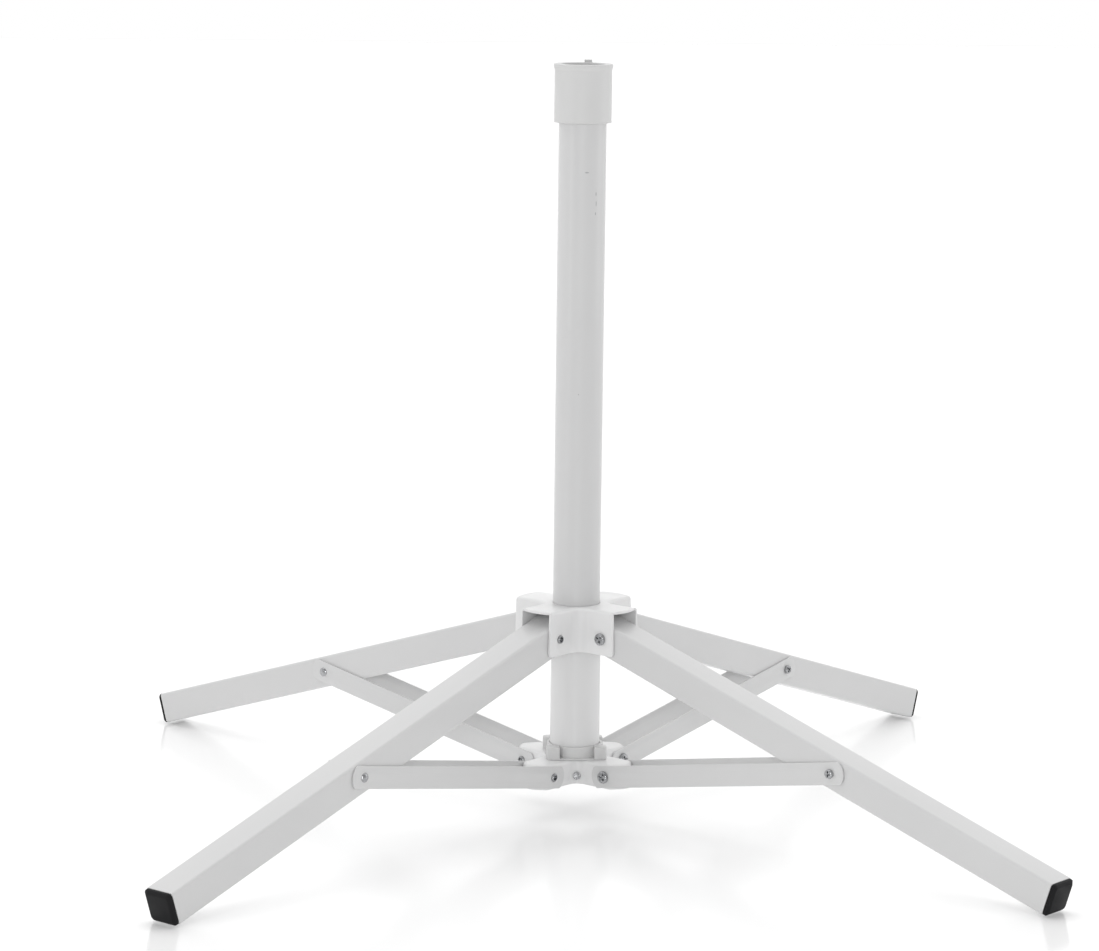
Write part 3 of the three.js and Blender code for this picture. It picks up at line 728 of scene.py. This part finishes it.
SCREWS = {
    "leg": screw_mesh(HEAD_R, 12 + 0.0, SCREW_R),
    "hub": screw_mesh(HEAD_R, 12 + 0.0, SCREW_R),
    "brace": screw_mesh(SMALL_HEAD_R, BRACE_T + GAP - 0.1, 4.1),
}
OUT1, OUT2 = UHUB_IN + UHUB_SHEET, BRACE_IN + BRACE_T
BARRELS = {
    "leg": barrel_mesh(2 * OUT1 + 1.5, 16),
    "hub": barrel_mesh(2 * OUT2 + 1.3, 16),
    "brace": barrel_mesh(OUT2 + 2.0 - BRACE_IN - 0.1, 0),
}

# ---------------------------------------------------------------- legs and braces
MX, MZ = P1R + PM * COS, P1Z - PM * SIN
LENGTH = math.hypot(MX - P2R, MZ - P2Z)
TILT = math.atan2(MZ - P2Z, MX - P2R) / DEG
TURNS = {"front_right": (15, 35, 62), "rear_right": (50, 5, 20), "rear_left": (70, 25, 40), "front_left": (33, 58, 10)}


def leg_section(d, n=8):
    return round_rect(LEG_W - 2 * d, LEG_H - 2 * d, max(LEG_CORNER - d, 0.6), n)


for name, azimuth in LEGS:
    side = turn(azimuth)
    place = side @ Matrix.Translation((P1R, 0, P1Z)) @ turn(LEG_ANGLE, "Y")
    end = LEG_LENGTH - CAP_FLANGE - GAP
    x0 = -LEG_INNER
    w = LEG_WALL
    rows = [(x0, 0.25), (x0 + 0.25, 0), (end * 0.33, 0), (end * 0.66, 0), (end - 0.25, 0), (end, 0.25), (end, w), (x0, w)]
    leg = loft("leg_v_" + name, [(x, leg_section(d)) for x, d in rows], closed=True)
    boolean(leg, rods("cut", [((0, -24, 0), (0, -12, 0)), ((0, 12, 0), (0, 24, 0))], HOLE_R), "DIFFERENCE")
    done(leg, M_PAINT, "leg_" + name, "leg_" + name, sharp=40, matrix=place)

    t = LEG_WALL + 0.4
    back = LEG_LENGTH - CAP_FLANGE

    def rect(d, r):
        return round_rect(LEG_W - 2 * d, LEG_H - 2 * d, r, 8)

    cap = loft("cap_v_" + name, [
        (back - CAP_PLUG, rect(t + 1.6, 1.0)), (back - CAP_PLUG + 3, rect(t, 1.2)), (back, rect(t, 1.2)),
        (back, rect(0.7, 4.2)), (back + 0.12, rect(0.3, 4.4)), (back + 0.5, rect(0.05, 4.6)), (back + 0.9, rect(0, 4.6)),
        (LEG_LENGTH - 0.9, rect(0, 4.6)), (LEG_LENGTH - 0.35, rect(0.12, 4.6)), (LEG_LENGTH + 0.1, rect(0.55, 4.4)),
        (LEG_LENGTH + CAP_FACE - 0.55, rect(2.6, 3.4)), (LEG_LENGTH + CAP_FACE - 0.15, rect(3.1, 3.2)),
        (LEG_LENGTH + CAP_FACE, rect(3.8, 3.0)),
    ])
    done(cap, M_BLACK, "leg_" + name, "leg_cap_" + name, sharp=50, matrix=place)

    # braces
    half = 0.5 * BRACE_H
    edge = math.asin(half / BRACE_END_R)
    outline = []
    na, rc = 16, 2.0
    for sign, cx in ((-1, 0.0), (1, LENGTH)):
        pts = [(cx + sign * BRACE_END_R * math.cos(edge * (1 - 2 * i / na)), sign * BRACE_END_R * math.sin(-edge * (1 - 2 * i / na))) for i in range(na + 1)]
        outline += pts
    # soften the four corners between an arc and a straight edge
    soft, m = [], len(outline)
    for i, p in enumerate(outline):
        if i in (0, na, na + 1, m - 1):
            prev, nxt = Vector(outline[i - 1]), Vector(outline[(i + 1) % m])
            v = Vector(p)
            a, b = v + (prev - v).normalized() * 1.4, v + (nxt - v).normalized() * 1.4
            for s in (0, 0.25, 0.5, 0.75, 1):
                q = a * (1 - s) ** 2 + v * 2 * s * (1 - s) + b * s ** 2
                soft.append((q.x, q.y))
        else:
            soft.append(p)
    area = sum(soft[i - 1][0] * soft[i][1] - soft[i][0] * soft[i - 1][1] for i in range(len(soft)))
    if area < 0:
        soft.reverse()
    bars = side @ Matrix.Translation((P2R, 0, P2Z)) @ turn(-TILT, "Y")
    for word, y in (("left", BRACE_IN + BRACE_T), ("right", -BRACE_IN)):
        o = plate("brace_v_%s_%s" % (word, name), soft, 0, BRACE_T,
                  holes=[circle(HOLE_R, 32), circle(HOLE_R, 32, LENGTH, 0)], edge=0.55, steps=3)
        done(o, M_PAINT, "braces_" + name, "brace_%s_%s" % (word, name), sharp=40,
             matrix=bars @ Matrix.Translation((0, y, 0)) @ turn(90, "X"))

    # fasteners: screw head outwards on -Y, barrel end outwards on +Y
    p1 = side @ Matrix.Translation((P1R, 0, P1Z))
    p2 = side @ Matrix.Translation((P2R, 0, P2Z))
    pm = bars @ Matrix.Translation((LENGTH, 0, 0))
    for i, (key, at, out, proud, body) in enumerate((
            ("leg", p1, OUT1, 2.0, "hub_slider"), ("hub", p2, OUT2, 1.8, "mast_base"), ("brace", pm, OUT2, 2.0, "braces_" + name))):
        s = copy_mesh(SCREWS[key], "%s_screw_v_%s" % (key, name))
        done(s, M_ZINC, body, "%s_screw_%s" % (key, name), sharp=35,
             matrix=at @ Matrix.Translation((0, -out - GAP, 0)) @ turn(90, "X") @ turn(TURNS[name][i]))
        b = copy_mesh(BARRELS[key], "%s_barrel_v_%s" % (key, name))
        done(b, M_ZINC, body, "%s_barrel_%s" % (key, name), sharp=35,
             matrix=at @ Matrix.Translation((0, out + proud, 0)) @ LAY)

for source in (*SCREWS.values(), *BARRELS.values()):
    bpy.data.objects.remove(source)

# ---------------------------------------------------------------- floor
fm, fnt, fb = principled("floor")
fb.inputs["Base Color"].default_value = (0.94, 0.94, 0.94, 1)
fb.inputs["Emission Color"].default_value = (1, 1, 1, 1)
fb.inputs["Emission Strength"].default_value = 0.12
fb.inputs["Roughness"].default_value = 0.16
fb.inputs["IOR"].default_value = 1.5
me = bpy.data.meshes.new("floor")
S = 16.0
me.from_pydata([(-S, -S, 0), (S, -S, 0), (S, S, 0), (-S, S, 0)], [], [(0, 1, 2, 3)])
me.materials.append(fm)
floor = bpy.data.objects.new("floor", me)
floor.location.z = -0.0012
bpy.context.scene.collection.objects.link(floor)

# ---------------------------------------------------------------- light
FRONT, BACK, LEFT = 0.46, 1.08, 1.02
scene = bpy.context.scene
world = bpy.data.worlds.new("world")
scene.world = world
world.use_nodes = True
wnt = world.node_tree
bg = wnt.nodes["Background"]
# the studio is bright behind and above, and darker on the viewer's side
wtc = wnt.nodes.new("ShaderNodeTexCoord")
sep = wnt.nodes.new("ShaderNodeSeparateXYZ")
wnt.links.new(wtc.outputs["Generated"], sep.inputs[0])


def graded(socket, lo, hi, a, b):
    mr = wnt.nodes.new("ShaderNodeMapRange")
    mr.interpolation_type = "SMOOTHSTEP"
    mr.inputs["From Min"].default_value = lo
    mr.inputs["From Max"].default_value = hi
    mr.inputs["To Min"].default_value = a
    mr.inputs["To Max"].default_value = b
    wnt.links.new(socket, mr.inputs["Value"])
    return mr.outputs["Result"]


def combine(op, a, b):
    m = wnt.nodes.new("ShaderNodeMath")
    m.operation = op
    for value, socket in ((a, m.inputs[0]), (b, m.inputs[1])):
        if isinstance(value, float):
            socket.default_value = value
        else:
            wnt.links.new(value, socket)
    return m.outputs[0]


depth = graded(sep.outputs["Y"], -0.7, 0.35, FRONT, BACK)
side = graded(sep.outputs["X"], -0.9, 0.5, LEFT, 1.0)
glow = combine("MULTIPLY", depth, side)
lp = wnt.nodes.new("ShaderNodeLightPath")
keep = combine("MULTIPLY", glow, combine("SUBTRACT", 1.0, lp.outputs["Is Camera Ray"]))
wnt.links.new(combine("ADD", keep, lp.outputs["Is Camera Ray"]), bg.inputs["Strength"])
bg.inputs["Color"].default_value = (1, 1, 1, 1)


def area(name, at, target, size, power, colour=(1, 1, 1)):
    light = bpy.data.lights.new(name, "AREA")
    light.shape = "RECTANGLE"
    light.size, light.size_y = size
    light.energy = power
    light.color = colour
    o = bpy.data.objects.new(name, light)
    o.location = at
    o.rotation_euler = (Vector(target) - Vector(at)).to_track_quat("-Z", "Y").to_euler()
    scene.collection.objects.link(o)
    return o


area("top", (-0.3, 0.5, 3.0), (0, 0.1, 0.2), (3.2, 3.2), 15)
area("left", (-2.6, -1.6, 1.2), (0, 0, 0.3), (0.4, 2.4), 6)
area("fill", (-1.4, -12.0, 3.3), (0, 0, 0.3), (3.6, 2.8), 262)
area("right", (1.5, -0.1, 0.75), (0.1, 0.1, 0.15), (0.5, 0.9), 1.6)

# ---------------------------------------------------------------- camera
F_PX, WIDTH = 3850.68, 1099.0
PHI, PITCH, ROLL, YAW = 5.327 * DEG, 9.311 * DEG, -0.699 * DEG, -0.431 * DEG
right0 = Vector((math.cos(YAW), -math.sin(YAW), 0))
up0 = Vector((math.sin(PITCH) * math.sin(YAW), math.sin(PITCH) * math.cos(YAW), math.cos(PITCH)))
fwd = Vector((math.cos(PITCH) * math.sin(YAW), math.cos(PITCH) * math.cos(YAW), -math.sin(PITCH)))
cr = math.cos(ROLL) * right0 - math.sin(ROLL) * up0
cu = math.sin(ROLL) * right0 + math.cos(ROLL) * up0
spin = Matrix.Rotation(-PHI, 3, "Z")
cam = bpy.data.cameras.new("camera")
cam.sensor_width = 36.0
cam.lens = F_PX * 36.0 / WIDTH
cam.clip_start, cam.clip_end = 0.1, 60
co = bpy.data.objects.new("camera", cam)
r, u, b = spin @ cr, spin @ cu, spin @ (-fwd)
m3 = Matrix(((r.x, u.x, b.x), (r.y, u.y, b.y), (r.z, u.z, b.z)))
co.matrix_world = Matrix.Translation(spin @ Vector((0, -4.0259, 1.0216))) @ m3.to_4x4()
scene.collection.objects.link(co)
scene.camera = co

scene.view_settings.view_transform = "Standard"
scene.view_settings.look = "None"
scene.view_settings.exposure = 0.0
scene.view_settings.gamma = 1.0
